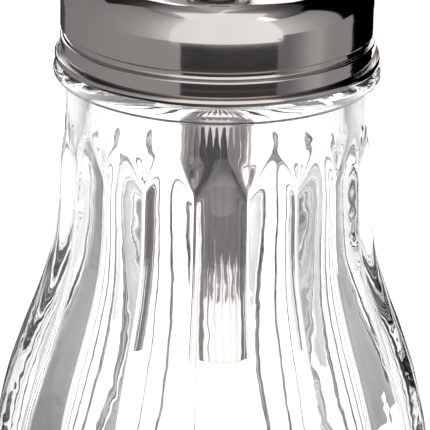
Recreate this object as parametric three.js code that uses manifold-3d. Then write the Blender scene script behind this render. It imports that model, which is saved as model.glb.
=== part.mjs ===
// A table sugar dispenser: a pressed-glass jar with convex ribs, a screwed stainless lid, a dosing
// tube through the middle of the lid, and a small flap that hangs over the tube's mouth.
// Millimetres, +Z up. The origin is the middle of the jar's foot, on the table. -Y is the front,
// where the flap's free edge points.

import * as THREE from "three";
import { mergeVertices } from "three/addons/utils/BufferGeometryUtils.js";
import Module from "manifold-3d";

const wasm = await Module();
wasm.setup();

// The jar: its outside
const bellyRadius = 39.3; // over the ribs
const bellyHeight = 27; // the widest place, above the table
const waistRadius = 27.4; // over the ribs
const waistHeight = 82;
const ribCount = 18;
const ribDepth = 1.7; // at the waist, from a rib's crest to the grooves beside it
const ribTopRise = 13.5; // from the waist up to the ribs' tops, over which they fall to the neck
const archRise = 3.5; // from the ends of the grooves up to the ribs' tops
const grooveRunOut = 7; // over which a groove grows shallow under its end
const ribFade = 7; // how far above the table the grooves reach their full depth
const neckRadius = 26.1; // the plain band above the ribs
const neckHeight = 6.1; // from the ribs' tops up to the middle of the glass ring
const ringRadius = 28.4; // the thick glass ring under the lid
const ringThickness = 3;
const footRadius = 31;
const footWidth = 3.6;
const footRecess = 1.2; // how far the base is hollowed inside the foot

// The jar: its inside and its mouth
const glassWall = 2.8; // under the grooves
const baseThickness = 8;
const baseFlatRadius = 20; // the flat floor inside
const finishRadius = 23.3; // the threaded mouth, over its plain wall
const mouthWall = 2.8; // from the mouth's bore to that wall
const rimRound = 0.6;
const threadPitch = 3.2;
const threadHeight = 0.9;
const threadWidth = 1.6;
const threadTurns = 1.25;
const threadTopDrop = 2.6; // from the rim down to the end of the thread
const threadFootRise = 2.7; // from the glass ring up to its start

// The lid
const sheet = 0.5; // the stainless sheet
const hemWidth = 1.65; // the bead at the lid's edge, rolled outwards
const hemHeight = 1.4;
const grooveDepth = 1; // rolled in to hold the insert
const grooveRound = 0.7;
const skirtHeight = 4.4; // from the hem's middle to the groove
const skirtSetback = 0.2; // how far inside the drum the skirt lies
const shoulderDrop = 0.8; // from the top of the insert inside down to where the shoulder begins
const shoulderRadius = 5.7;
const coneSlope = THREE.MathUtils.degToRad(16);

// The insert, a plastic screw ring, and its gasket
const gasketThickness = 1.2;
const insertWall = 0.9; // at the groove
const insertFlange = 1;
const insertLift = 1; // its foot, above the glass ring
const insertThreadWidth = 1.4;

// The dosing tube
const tubeRadius = 6.1;
const tubeWall = 0.5;
const spoutHeight = 16.6; // on the axis, from the cone to the upper mouth
const tubeFootHeight = 48.5; // its lower end, above the table
const mouthSlope = THREE.MathUtils.degToRad(18);
const collarWidth = 2;
const collarHeight = 2.2;
const collarRound = 0.8;
const flangeWidth = 4.6;
const flangeThickness = 0.9;

// The flap and its hinge
const flapSheet = 0.6;
const flapOverhang = 1.9; // the flap's radius beyond the tube's
const flapRimDepth = 1.5;
const flapRise = 0.8; // its crown
const flapOpening = THREE.MathUtils.degToRad(100);
const lipReach = 2.2;
const lipRise = 0.7;
const lipWidth = 5;
const knuckleWidth = 4.4;
const heelThickness = 0.8;
const heelLean = THREE.MathUtils.degToRad(65); // below level, where the heel stops the open flap
const pinRadius = 0.8;
const pinHeadRadius = 1.3;
const pinHeadThickness = 0.6;
const earThickness = 0.8;
const saddleThickness = 0.9;
const saddleDrop = 2.2; // from the hinge down to the top of the saddle between the ears
const bracketDrop = 9; // from the hinge down to the foot of the bracket

// Clearances
const seatGap = 0.3; // between pieces that rest on or in one another
const threadGap = 0.3; // from each thread's crest to the other piece's wall
const earGap = 0.25; // beside the knuckle and under the pin's heads
const runningGap = 0.1; // round the pin
const stopGap = 0.15; // from the heel to the saddle, with the flap fully open
const overrun = 1; // how far a cutter reaches past what it cuts

// Fineness: facets round one turn
const jarFacets = ribCount * 4;
const lidFacets = 40;
const tubeFacets = 32;
const pinFacets = 20;

/** Turns an outline about the Z axis. It runs up outside and down inside, from axis to axis or round. */
function turned(outline, facets) {
  const points = outline.map(([radius, z]) => new THREE.Vector2(radius, z));
  if (outline[0][0] > 0) points.push(points[0]);
  return new THREE.LatheGeometry(points, facets).rotateX(Math.PI / 2);
}

/** Points on an oval arc about (radius, z): its reach is along the radius, its rise along z. */
function ovalArc([radius, z], reach, rise, from, to, steps) {
  return Array.from({ length: steps + 1 }, (_, i) => {
    const angle = THREE.MathUtils.degToRad(from + ((to - from) * i) / steps);
    return [radius + reach * Math.cos(angle), z + rise * Math.sin(angle)];
  });
}

/** Points on a circular arc about a centre, both ends included. */
function roundArc(centre, radius, from, to, steps) {
  return ovalArc(centre, radius, radius, from, to, steps);
}

/** A cylinder along X, centred on (y, z). */
function crossRod([y, z], radius, length) {
  const rod = new THREE.CylinderGeometry(radius, radius, length, pinFacets);
  return rod.rotateZ(Math.PI / 2).translate(0, y, z);
}

/** A block between two corners. */
function block(low, high) {
  const [x, y, z] = low.map((value, i) => (value + high[i]) / 2);
  const box = new THREE.BoxGeometry(...low.map((value, i) => high[i] - value));
  return box.translate(x, y, z);
}

/** A flat outline of (y, z) points, carried along X from one place for a given thickness. */
function sidePlate(outline, x, thickness) {
  const shape = new THREE.Shape(outline.map(([y, z]) => new THREE.Vector2(y, z)));
  const plate = new THREE.ExtrudeGeometry(shape, { depth: thickness, bevelEnabled: false });
  const toSide = new THREE.Matrix4().set(0, 0, 1, x, 1, 0, 0, 0, 0, 1, 0, 0, 0, 0, 0, 1);
  return plate.applyMatrix4(toSide);
}

/** A geometry as a manifold solid, for joining and cutting. */
function solid(geometry) {
  const bare = geometry.clone();
  bare.deleteAttribute("normal");
  bare.deleteAttribute("uv");
  const merged = mergeVertices(bare);
  return new wasm.Manifold(
    new wasm.Mesh({
      numProp: 3,
      vertProperties: merged.attributes.position.array,
      triVerts: new Uint32Array(merged.index.array),
    }),
  );
}

/** A manifold solid as a geometry again. */
function geometryOf(made) {
  const mesh = made.getMesh();
  return new THREE.BufferGeometry()
    .setAttribute("position", new THREE.BufferAttribute(new Float32Array(mesh.vertProperties), 3))
    .setIndex(new THREE.BufferAttribute(new Uint32Array(mesh.triVerts), 1));
}

/** One helical ridge along a wall, tapered at both ends. Its root lies inside the wall. */
function threadRidge({ wall, crest, width, startHeight, startTurn, turns }) {
  const stepsPerTurn = 30;
  const taperShare = 0.12;
  const lowestShare = 0.3; // of the height, at the ends of the taper
  const crestShare = 0.4; // the crest's width, of the root's
  const steps = Math.round(turns * stepsPerTurn);
  const outward = Math.sign(crest - wall);
  const root = wall - (outward * threadHeight) / 2;
  const sides = [
    [crest, crestShare],
    [crest, -crestShare],
    [root, -1],
    [root, 1],
  ];
  const positions = [];
  for (let i = 0; i <= steps; i++) {
    const along = i / steps;
    const swell = Math.min(1, along / taperShare, (1 - along) / taperShare);
    const angle = (startTurn + along * turns) * 2 * Math.PI;
    const height = startHeight + along * turns * threadPitch;
    for (const [radius, side] of outward > 0 ? sides : [...sides].reverse()) {
      const tapered = wall + (crest - wall) * THREE.MathUtils.lerp(lowestShare, 1, swell);
      const r = radius === root ? root : tapered;
      const z = height + (side * width) / 2;
      positions.push(r * Math.cos(angle), r * Math.sin(angle), z);
    }
  }
  const count = sides.length;
  const index = [0, 2, 1, 0, 3, 2];
  for (let i = 0; i < steps; i++) {
    for (let j = 0; j < count; j++) {
      const here = i * count;
      const k = (j + 1) % count;
      index.push(here + j, here + k, here + count + k);
      index.push(here + j, here + count + k, here + count + j);
    }
  }
  const end = steps * count;
  index.push(end, end + 1, end + 2, end, end + 2, end + 3);
  return new THREE.BufferGeometry()
    .setAttribute("position", new THREE.Float32BufferAttribute(positions, 3))
    .setIndex(index);
}

// The jar: pressed soda-lime glass. Its convex ribs meet in sharp grooves, end in round arches
// under the neck and run out on the heel. The inside is smooth.
const ribTopHeight = waistHeight + ribTopRise;
const ringHeight = ribTopHeight + neckHeight;
const ledgeHeight = ringHeight + ringThickness / 2;
const threadStart = ledgeHeight + threadFootRise;
const rimHeight = threadStart + threadTurns * threadPitch + threadTopDrop;
const mouthRadius = finishRadius - mouthWall;

// From belly to waist: share of the way up, share of the way out
const flareShares = [
  [0, 1],
  [0.15, 0.93],
  [0.3, 0.785],
  [0.45, 0.56],
  [0.6, 0.305],
  [0.75, 0.105],
  [0.88, 0.02],
  [1, 0],
];

/** The jar over its ribs, from foot to rib tops, as (radius, z) points. */
function crestOutline() {
  const heelSteps = 4;
  const flareSteps = 8;
  const topSteps = 6;
  const heelReach = bellyRadius - footRadius;
  const heel = ovalArc([footRadius, bellyHeight], heelReach, bellyHeight, -90, 0, heelSteps);
  const flarePoints = flareShares.map(([up, out]) => {
    const radius = THREE.MathUtils.lerp(waistRadius, bellyRadius, out);
    return new THREE.Vector2(radius, THREE.MathUtils.lerp(bellyHeight, waistHeight, up));
  });
  const flare = new THREE.SplineCurve(flarePoints).getPoints(flareSteps).slice(1);
  const top = Array.from({ length: topSteps }, (_, i) => {
    const up = (i + 1) / topSteps;
    const eased = THREE.MathUtils.smoothstep(up, 0, 1);
    return [THREE.MathUtils.lerp(waistRadius, neckRadius, eased), waistHeight + ribTopRise * up];
  });
  return [...heel, ...flare.map((point) => [point.x, point.y]), ...top];
}

/** How deep the grooves lie under the crests at a place on the crest outline. */
function grooveAt([radius, z]) {
  return (ribDepth * THREE.MathUtils.smoothstep(z, 0, ribFade) * radius) / waistRadius;
}

/** The jar's inside, from the mouth down to the middle of its floor. */
function insideOutline(crests) {
  const floorSteps = 3;
  const everySecond = (_, i) => i % 2 === 0; // the smooth inside needs half the rings
  const flare = crests
    .filter(([, z]) => z >= bellyHeight && z <= waistHeight)
    .filter(everySecond)
    .map(([radius, z]) => [radius - grooveAt([radius, z]) - glassWall, z]);
  const [bellyInside] = flare[0];
  const floorReach = bellyInside - baseFlatRadius;
  const floorRise = bellyHeight - baseThickness;
  const corner = [baseFlatRadius, bellyHeight];
  const floor = ovalArc(corner, floorReach, floorRise, 0, -90, floorSteps);
  return [...flare.reverse(), ...floor.slice(1), [0, baseThickness]];
}

function glassJar() {
  const ringSteps = 4;
  const crests = crestOutline();
  const foot = [
    [0, footRecess],
    [footRadius - footWidth - footRecess, footRecess],
    [footRadius - footWidth, 0],
  ];
  const ringReach = ringRadius - neckRadius;
  const ring = ovalArc([neckRadius, ringHeight], ringReach, ringThickness / 2, -90, 90, ringSteps);
  const mouth = [
    [finishRadius, ledgeHeight],
    [finishRadius, rimHeight - rimRound],
    [finishRadius - rimRound, rimHeight],
    [mouthRadius + rimRound, rimHeight],
    [mouthRadius, rimHeight - rimRound],
    [mouthRadius, ringHeight],
  ];
  const outline = [...foot, ...crests, ...ring, ...mouth, ...insideOutline(crests)];
  const body = turned(outline, jarFacets);
  const place = body.attributes.position;
  for (let i = 0; i < place.count; i++) {
    const crest = crests[(i % outline.length) - foot.length];
    if (!crest) continue;
    const rib = (Math.atan2(place.getY(i), place.getX(i)) / (2 * Math.PI)) * ribCount + ribCount / 4;
    const fromCrest = 2 * Math.abs(rib - Math.round(rib));
    const arched = crest[1] + archRise * fromCrest ** 2;
    const ended = THREE.MathUtils.smoothstep(arched, ribTopHeight - grooveRunOut, ribTopHeight);
    const scale = 1 - (grooveAt(crest) * (1 - ended) * fromCrest ** 2) / crest[0];
    place.setXYZ(i, place.getX(i) * scale, place.getY(i) * scale, place.getZ(i));
  }
  const thread = threadRidge({
    wall: finishRadius,
    crest: finishRadius + threadHeight,
    width: threadWidth,
    startHeight: threadStart,
    startTurn: 0,
    turns: threadTurns,
  });
  return geometryOf(solid(body).add(solid(thread)));
}

// The gasket lies on the jar's rim, under the insert's flange.
const insertBore = finishRadius + threadHeight + threadGap;
const gasketBase = rimHeight + seatGap;
const insertFlangeBase = gasketBase + gasketThickness + seatGap;
const insertTop = insertFlangeBase + insertFlange;

function sealingGasket() {
  const outer = insertBore - seatGap;
  const inner = mouthRadius + rimRound;
  return turned(
    [
      [inner, gasketBase],
      [outer, gasketBase],
      [outer, gasketBase + gasketThickness],
      [inner, gasketBase + gasketThickness],
    ],
    lidFacets,
  );
}

// The steel lid is drawn from one sheet: a hem rolled outwards, a short skirt, the groove that
// holds the insert, a straight drum, a round shoulder and a cone that climbs to the tube.
const hemMiddle = ledgeHeight + seatGap + hemHeight / 2;
const grooveHeight = hemMiddle + skirtHeight;
const shoulderHeight = insertTop - shoulderDrop;
const insertWaist = insertBore + insertWall;
const grooveRadius = insertWaist + seatGap + sheet;
const drumRadius = grooveRadius + grooveDepth;
const skirtRadius = drumRadius - skirtSetback;
const shoulderMiddle = drumRadius - shoulderRadius;
const coneFootRadius = shoulderMiddle + shoulderRadius * Math.sin(coneSlope);
const coneFootHeight = shoulderHeight + shoulderRadius * Math.cos(coneSlope);
const coneThickness = sheet / Math.cos(coneSlope); // measured upright
const lidBore = tubeRadius + seatGap;

/** The height of the cone's outer face at a radius. */
function coneAt(radius) {
  return coneFootHeight + (coneFootRadius - radius) * Math.tan(coneSlope);
}

/** One lip of the groove: an S from a wall of the given radius to the groove's floor. */
function grooveLip(wall, side, inset) {
  const reach = (wall - grooveRadius) / 2;
  const half = grooveRound / 2;
  const middle = grooveHeight + side * grooveRound;
  const floor = [grooveRadius - inset + reach, middle - side * half];
  const brow = [grooveRadius - inset + reach, middle + side * half];
  const inner = ovalArc(floor, -reach, side * half, 0, 90, 1);
  const outer = ovalArc(brow, reach, -side * half, 90, 0, 1);
  return [...inner, ...outer.slice(1)];
}

/** One face of the lid above its hem, from the skirt up to the bore. The inner face is inset. */
function lidFace(inset) {
  const shoulderSteps = 4;
  const shoulderTop = 90 - THREE.MathUtils.radToDeg(coneSlope);
  const shoulderCentre = [shoulderMiddle, shoulderHeight];
  const shoulder = roundArc(shoulderCentre, shoulderRadius - inset, 0, shoulderTop, shoulderSteps);
  const bore = [lidBore, coneAt(lidBore) - (inset > 0 ? coneThickness : 0)];
  const lowerLip = grooveLip(skirtRadius, -1, inset).reverse();
  return [...lowerLip, ...grooveLip(drumRadius, 1, inset), ...shoulder, bore];
}

function lidShell() {
  const curlSteps = 7;
  const curlEnd = 425; // where the hem's free edge comes back to the skirt
  const curlMiddle = [skirtRadius - sheet + hemWidth / 2, hemMiddle];
  const curl = (inset) => {
    const reach = hemWidth / 2 - inset;
    return ovalArc(curlMiddle, reach, hemHeight / 2 - inset, 180, curlEnd, curlSteps);
  };
  const outline = [
    ...curl(0),
    ...curl(sheet).reverse(),
    ...lidFace(0),
    ...lidFace(sheet).reverse(),
  ];
  return turned(outline, lidFacets);
}

// The insert: a moulded plastic screw ring, held in the lid by the rolled groove.
const insertFoot = ledgeHeight + insertLift;

function threadInsert() {
  const upperOuter = drumRadius - sheet - seatGap;
  const lowerOuter = skirtRadius - sheet - seatGap;
  const waistHalf = grooveRound + seatGap;
  const easedHalf = 2 * grooveRound + seatGap;
  const body = turned(
    [
      [insertBore, insertFoot],
      [lowerOuter, insertFoot],
      [lowerOuter, grooveHeight - easedHalf],
      [insertWaist, grooveHeight - waistHalf],
      [insertWaist, grooveHeight + waistHalf],
      [upperOuter, grooveHeight + easedHalf],
      [upperOuter, insertTop],
      [mouthRadius, insertTop],
      [mouthRadius, insertFlangeBase],
      [insertBore, insertFlangeBase],
    ],
    lidFacets,
  );
  const startTurn = 0.25; // past the start of the jar's thread
  const thread = threadRidge({
    wall: insertBore,
    crest: finishRadius + threadGap,
    width: insertThreadWidth,
    startHeight: threadStart + (startTurn - 1 / 2) * threadPitch,
    startTurn,
    turns: 1,
  });
  return geometryOf(solid(body).add(solid(thread)));
}

// The dosing tube: bright drawn stainless tube, cut square at its foot and aslant at its mouth. A
// collar on the cone and a flange under it are brazed to the tube and hold it in the lid.
const mouthHeight = coneAt(0) + spoutHeight; // on the axis

function pourTube() {
  const inner = tubeRadius - tubeWall;
  const tube = turned(
    [
      [inner, tubeFootHeight],
      [tubeRadius, tubeFootHeight],
      [tubeRadius, mouthHeight],
      [inner, mouthHeight],
    ],
    tubeFacets,
  );
  const place = tube.attributes.position;
  for (let i = 0; i < place.count; i++) {
    const upper = place.getZ(i) > (tubeFootHeight + mouthHeight) / 2;
    if (upper) place.setZ(i, place.getZ(i) + place.getY(i) * Math.tan(mouthSlope));
  }
  return tube;
}

function spoutCollar() {
  const roundSteps = 3;
  const inner = tubeRadius + seatGap;
  const outer = inner + collarWidth;
  const top = coneAt(inner) + seatGap + collarHeight;
  return turned(
    [
      [inner, coneAt(inner) + seatGap],
      [outer, coneAt(outer) + seatGap],
      ...roundArc([outer - collarRound, top - collarRound], collarRound, 0, 90, roundSteps),
      [inner, top],
    ],
    tubeFacets,
  );
}

function tubeFlange() {
  const inner = tubeRadius + seatGap;
  const outer = inner + flangeWidth;
  const under = (radius) => coneAt(radius) - coneThickness - seatGap;
  return turned(
    [
      [inner, under(inner) - flangeThickness],
      [outer, under(outer) - flangeThickness],
      [outer, under(outer)],
      [inner, under(inner)],
    ],
    tubeFacets,
  );
}

// The hinge. Its pin lies behind the flap, level with the flap's sheet. The flap's own frame lies
// on the slanted mouth: y runs up the slope, z stands off it.
const flapRadius = tubeRadius + flapOverhang;
const flapMiddle = seatGap + flapSheet / 2;
const knuckleRadius = pinRadius + runningGap + flapSheet;
const hingeReach = flapRadius + seatGap + knuckleRadius;
const hingeY = hingeReach * Math.cos(mouthSlope) - flapMiddle * Math.sin(mouthSlope);
const hingeZ = mouthHeight + hingeReach * Math.sin(mouthSlope) + flapMiddle * Math.cos(mouthSlope);
const earInside = knuckleWidth / 2 + earGap;
const earOutside = earInside + earThickness;
const saddleBack = tubeRadius + seatGap + saddleThickness;

// The flap: a shallow stamped cap. Its sheet runs back as a tongue, rolls round the pin and ends in
// a heel, which meets the saddle when the flap is open.
function flap() {
  const crownShare = 0.6; // where the crown starts to fall, of the radius
  const crownFallShare = 0.75; // how high it still is there
  const inner = flapRadius - flapSheet;
  const dome = (lift) => [
    [0, lift + flapRise],
    [inner * crownShare, lift + flapRise * crownFallShare],
  ];
  const cap = turned(
    [
      ...dome(seatGap),
      [inner, seatGap],
      [inner, -flapRimDepth],
      [flapRadius, -flapRimDepth],
      [flapRadius, seatGap],
      [inner, seatGap + flapSheet],
      ...dome(seatGap + flapSheet).reverse(),
    ],
    tubeFacets,
  );
  const tongue = block(
    [-knuckleWidth / 2, inner - flapSheet, seatGap],
    [knuckleWidth / 2, hingeReach, seatGap + flapSheet],
  );
  const earSpace = block(
    [-earOutside - seatGap, 0, -flapRimDepth - overrun],
    [earOutside + seatGap, flapRadius + overrun, seatGap],
  );
  const lipStart = flapSheet - inner;
  const lipEnd = -flapRadius - lipReach;
  const lip = sidePlate(
    [
      [lipEnd, seatGap + lipRise],
      [lipStart, seatGap],
      [lipStart, seatGap + flapSheet],
      [lipEnd, seatGap + lipRise + flapSheet],
    ],
    -lipWidth / 2,
    lipWidth,
  );
  const hinge = [hingeReach, flapMiddle];
  const knuckle = crossRod(hinge, knuckleRadius, knuckleWidth);
  const bore = crossRod(hinge, pinRadius + runningGap, knuckleWidth + overrun);
  const heelReach = hingeY - saddleBack - stopGap - (heelThickness / 2) * Math.sin(heelLean);
  const heel = block(
    [-knuckleWidth / 2, 0, -heelThickness / 2],
    [knuckleWidth / 2, heelReach / Math.cos(heelLean), heelThickness / 2],
  );
  heel.rotateX(Math.PI + heelLean + flapOpening - mouthSlope).translate(0, ...hinge);
  const joined = solid(cap).subtract(solid(earSpace)).add(solid(tongue)).add(solid(lip));
  return geometryOf(joined.add(solid(knuckle)).add(solid(heel)).subtract(solid(bore)));
}

// The bracket: two ears on a saddle that is brazed to the back of the tube.
function hingeBracket() {
  const eyeSteps = 10;
  const eyeStart = -50; // degrees, where the ear's back edge meets its round eye
  const eyeEnd = 205; // where its front edge does
  const foot = hingeZ - bracketDrop;
  const saddleTop = hingeZ - saddleDrop;
  const eye = roundArc([hingeY, hingeZ], knuckleRadius, eyeStart, eyeEnd, eyeSteps);
  const earOutline = [[0, foot], [saddleBack, foot], ...eye, [saddleBack, saddleTop], [0, saddleTop]];
  const ear = (x) => solid(sidePlate(earOutline, x, earThickness));
  const saddle = block([-earOutside, 0, foot], [earOutside, saddleBack, saddleTop]);
  const bore = crossRod([hingeY, hingeZ], pinRadius + runningGap, 2 * earOutside + overrun);
  const spaceRadius = tubeRadius + seatGap;
  const spaceLength = bracketDrop + 2 * overrun;
  const tubeSpace = new THREE.CylinderGeometry(spaceRadius, spaceRadius, spaceLength, tubeFacets)
    .rotateX(Math.PI / 2)
    .translate(0, 0, foot - overrun + spaceLength / 2);
  const ears = ear(-earOutside).add(ear(earInside));
  return geometryOf(ears.add(solid(saddle)).subtract(solid(bore)).subtract(solid(tubeSpace)));
}

function hingePin() {
  const shankLength = 2 * (earOutside + earGap);
  const headMiddle = (shankLength + pinHeadThickness) / 2;
  const hinge = [hingeY, hingeZ];
  const shank = solid(crossRod(hinge, pinRadius, shankLength + pinHeadThickness));
  const head = (side) => {
    const disc = crossRod(hinge, pinHeadRadius, pinHeadThickness);
    return solid(disc.translate(side * headMiddle, 0, 0));
  };
  return geometryOf(shank.add(head(-1)).add(head(1)));
}

// Materials
const glass = new THREE.MeshStandardMaterial({
  color: 0xf4f8f8,
  roughness: 0.02,
  metalness: 0,
  transparent: true,
  opacity: 0.35,
});
const polishedSteel = new THREE.MeshStandardMaterial({
  color: 0xb9b6b2,
  roughness: 0.08,
  metalness: 1,
});
const drawnSteel = new THREE.MeshStandardMaterial({
  color: 0xa9a6a2,
  roughness: 0.22,
  metalness: 1,
});
const whitePlastic = new THREE.MeshStandardMaterial({
  color: 0xe9e8e2,
  roughness: 0.5,
  metalness: 0,
});
const clearSilicone = new THREE.MeshStandardMaterial({
  color: 0xdfe2df,
  roughness: 0.6,
  metalness: 0,
});

// The assembly
const dispenser = new THREE.Group();
dispenser.name = "sugar_dispenser";

function addPiece(parent, name, geometry, material) {
  const mesh = new THREE.Mesh(geometry, material);
  mesh.name = name;
  parent.add(mesh);
}

addPiece(dispenser, "glass_jar", glassJar(), glass);
addPiece(dispenser, "sealing_gasket", sealingGasket(), clearSilicone);
addPiece(dispenser, "thread_insert", threadInsert(), whitePlastic);
addPiece(dispenser, "lid_shell", lidShell(), polishedSteel);
addPiece(dispenser, "spout_collar", spoutCollar(), polishedSteel);
addPiece(dispenser, "tube_flange", tubeFlange(), drawnSteel);
addPiece(dispenser, "pour_tube", pourTube(), drawnSteel);
addPiece(dispenser, "hinge_bracket", hingeBracket(), polishedSteel);
addPiece(dispenser, "hinge_pin", hingePin(), drawnSteel);

const mouth = new THREE.Group();
mouth.position.z = mouthHeight;
mouth.rotation.x = mouthSlope;
dispenser.add(mouth);
addPiece(mouth, "flap", flap(), polishedSteel);

export default dispenser;
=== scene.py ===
import math

import bmesh
import bpy
import numpy as np
from mathutils import Matrix, Vector


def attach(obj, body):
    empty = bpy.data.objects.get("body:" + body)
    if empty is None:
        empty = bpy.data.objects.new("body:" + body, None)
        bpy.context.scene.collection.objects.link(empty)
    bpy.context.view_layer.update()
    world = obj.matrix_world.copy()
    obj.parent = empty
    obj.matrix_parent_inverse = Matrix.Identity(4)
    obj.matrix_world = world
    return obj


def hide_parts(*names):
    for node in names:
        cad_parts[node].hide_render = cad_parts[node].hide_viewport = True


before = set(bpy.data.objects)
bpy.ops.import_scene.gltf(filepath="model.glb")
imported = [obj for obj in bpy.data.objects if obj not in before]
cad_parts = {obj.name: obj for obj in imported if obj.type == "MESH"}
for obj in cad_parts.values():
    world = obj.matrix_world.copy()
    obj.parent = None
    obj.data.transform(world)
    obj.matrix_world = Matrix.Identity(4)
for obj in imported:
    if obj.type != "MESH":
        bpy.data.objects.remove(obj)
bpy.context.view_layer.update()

# The jar is pressed soda-lime glass: eighteen convex ribs that meet in grooves, end in round arches
# under a plain neck and run out on the heel. The plunger left its inside smooth, and its rim was
# fire-polished. A thread of a turn and a quarter on its mouth takes the lid.
MM = 0.001
belly_radius, belly_height = 39.3, 27.0
waist_radius, waist_height = 27.4, 82.0
rib_count, rib_depth, rib_fade = 18, 1.7, 7.0
rib_top_height, arch_rise, groove_run_out = 95.5, 3.5, 7.0
neck_radius = 26.1
ring_radius, ring_height, ring_thickness = 28.4, 101.6, 3.0
foot_radius, foot_width, foot_recess = 31.0, 3.6, 1.2
glass_wall, base_thickness, base_flat_radius = 2.8, 8.0, 20.0
mouth_radius, finish_radius, rim_height, rim_round = 20.5, 23.3, 112.4, 0.6
ledge_height = ring_height + ring_thickness / 2
thread_pitch, thread_height, thread_width = 3.2, 0.9, 1.6
thread_start, thread_turns = 105.8, 1.25
# From the belly up to the waist: shares of the way up, each with its share of the way out.
flare_shares = [
    (0, 1), (0.15, 0.93), (0.3, 0.785), (0.45, 0.56), (0.6, 0.305), (0.75, 0.105), (0.88, 0.02), (1, 0),
]
facets_per_rib = 20


def linear(hex_colour):
    """An sRGB hex colour as linear RGBA."""
    shares = [int(hex_colour[i : i + 2], 16) / 255 for i in (1, 3, 5)]
    return [s / 12.92 if s <= 0.04045 else ((s + 0.055) / 1.055) ** 2.4 for s in shares] + [1.0]


def add_node(tree, kind, sockets=None, **settings):
    """A node in a tree. A socket's value is a number, a colour or the socket that feeds it."""
    node = tree.nodes.new(kind)
    for name, value in settings.items():
        setattr(node, name, value)
    for name, value in (sockets or {}).items():
        if isinstance(value, bpy.types.NodeSocket):
            tree.links.new(value, node.inputs[name])
        else:
            node.inputs[name].default_value = value
    return node


def arc(centre, reach, rise, start, end, steps):
    """Points of an oval arc about (radius, height), angles in degrees, both ends included."""
    angles = np.radians(np.linspace(start, end, steps + 1))
    return [(centre[0] + reach * math.cos(a), centre[1] + rise * math.sin(a)) for a in angles]


def between(start, end, steps):
    """Points from start to end, without the start."""
    return [
        (start[0] + (end[0] - start[0]) * i / steps, start[1] + (end[1] - start[1]) * i / steps)
        for i in range(1, steps + 1)
    ]


def eased(outline, radius, steps=4, closed=True):
    """An outline with its corners rounded, each over less than half of its sides."""
    no_corner, longest_cut = -0.9999, 0.45
    points, count = [], len(outline)
    for i, here in enumerate(outline):
        before, after = outline[i - 1], outline[(i + 1) % count]
        ends = not closed and i in (0, count - 1)
        to_before = np.subtract(before, here)
        to_after = np.subtract(after, here)
        lengths = np.linalg.norm(to_before), np.linalg.norm(to_after)
        if ends or radius == 0 or min(lengths) == 0:
            points.append(tuple(here))
            continue
        turn = np.clip(np.dot(to_before, to_after) / (lengths[0] * lengths[1]), -1, 1)
        if turn < no_corner:
            points.append(tuple(here))
            continue
        half = math.acos(turn) / 2
        cut = min(radius / math.tan(half), min(lengths) * longest_cut)
        start = np.add(here, to_before / lengths[0] * cut)
        end = np.add(here, to_after / lengths[1] * cut)
        for k in range(steps + 1):
            t = k / steps
            points.append(tuple((1 - t) ** 2 * start + 2 * t * (1 - t) * np.array(here) + t * t * end))
    return points


ON_AXIS = 1e-6  # a point of an outline this close to the Z axis is one vertex, and not a ring


def turned(name, outline, facets, shape=None):
    """Turns an outline about the Z axis. It runs up outside and down inside, from axis to axis or round."""
    vertices, rings = [], []
    for radius, height in outline:
        if radius < ON_AXIS:
            rings.append([len(vertices)] * facets)
            vertices.append((0, 0, height))
            continue
        rings.append(list(range(len(vertices), len(vertices) + facets)))
        for j in range(facets):
            angle = 2 * math.pi * j / facets - math.pi / 2
            vertices.append((radius * math.cos(angle), radius * math.sin(angle), height))
    pairs = list(zip(rings, rings[1:]))
    if outline[0][0] > ON_AXIS:
        pairs.append((rings[-1], rings[0]))
    faces = []
    for low, high in pairs:
        for j in range(facets):
            k = (j + 1) % facets
            corners = [low[j], low[k], high[k], high[j]]
            faces.append([c for i, c in enumerate(corners) if c not in corners[:i]])
    if shape:
        vertices = [shape(Vector(v)) for v in vertices]
    mesh = bpy.data.meshes.new(name)
    mesh.from_pydata([Vector(v) * MM for v in vertices], [], faces)
    mesh.shade_smooth()
    piece = bpy.data.objects.new(name, mesh)
    bpy.context.scene.collection.objects.link(piece)
    return piece


def finished(piece, material, body, slot, *nodes):
    """Gives a piece its material and its body, and hides the CAD nodes that it stands for. The slot is not
    used.
    """
    piece.data.materials.clear()
    piece.data.materials.append(material)
    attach(piece, body)
    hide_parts(*nodes)


def catmull_rom(knots, steps):
    """A smooth curve through knots, uniform in their order."""
    knots = np.array(knots, float)
    points = []
    for i in range(steps + 1):
        place = (len(knots) - 1) * i / steps
        k = min(int(place), len(knots) - 2)
        t = place - k
        before, here, after = knots[max(k - 1, 0)], knots[k], knots[k + 1]
        beyond = knots[min(k + 2, len(knots) - 1)]
        out, into = (after - before) / 2, (beyond - here) / 2
        cubic = 2 * here - 2 * after + out + into
        square = 3 * after - 3 * here - 2 * out - into
        points.append(tuple(cubic * t**3 + square * t**2 + out * t + here))
    return points


def groove_depth(radius, height):
    """How deep the grooves lie under the ribs' crests."""
    t = min(max(height / rib_fade, 0), 1)
    return rib_depth * t * t * (3 - 2 * t) * radius / waist_radius


flare = catmull_rom(
    [
        (
            waist_radius + (belly_radius - waist_radius) * out,
            belly_height + (waist_height - belly_height) * up,
        )
        for up, out in flare_shares
    ],
    56,
)
crests = (
    arc((foot_radius, belly_height), belly_radius - foot_radius, belly_height, -88, 0, 30)
    + flare[1:]
    + [
        (
            waist_radius + (neck_radius - waist_radius) * up * up * (3 - 2 * up),
            waist_height + (rib_top_height - waist_height) * up,
        )
        for up in np.linspace(0, 1, 37)[1:]
    ]
)
neck = between(crests[-1], (neck_radius, ring_height - ring_thickness / 2), 8)
foot_inside, foot_ease = foot_radius - foot_width, 0.05
foot = [
    (0, foot_recess),
    (foot_inside - 2 * foot_recess, foot_recess),
    *arc((foot_inside - 2 * foot_recess, 0), foot_recess, foot_recess, 60, 20, 4),
    (foot_inside, foot_ease),
    (foot_radius - foot_width / 2, 0),
]
ring = arc((neck_radius, ring_height), ring_radius - neck_radius, ring_thickness / 2, -88, 90, 22)
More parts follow.
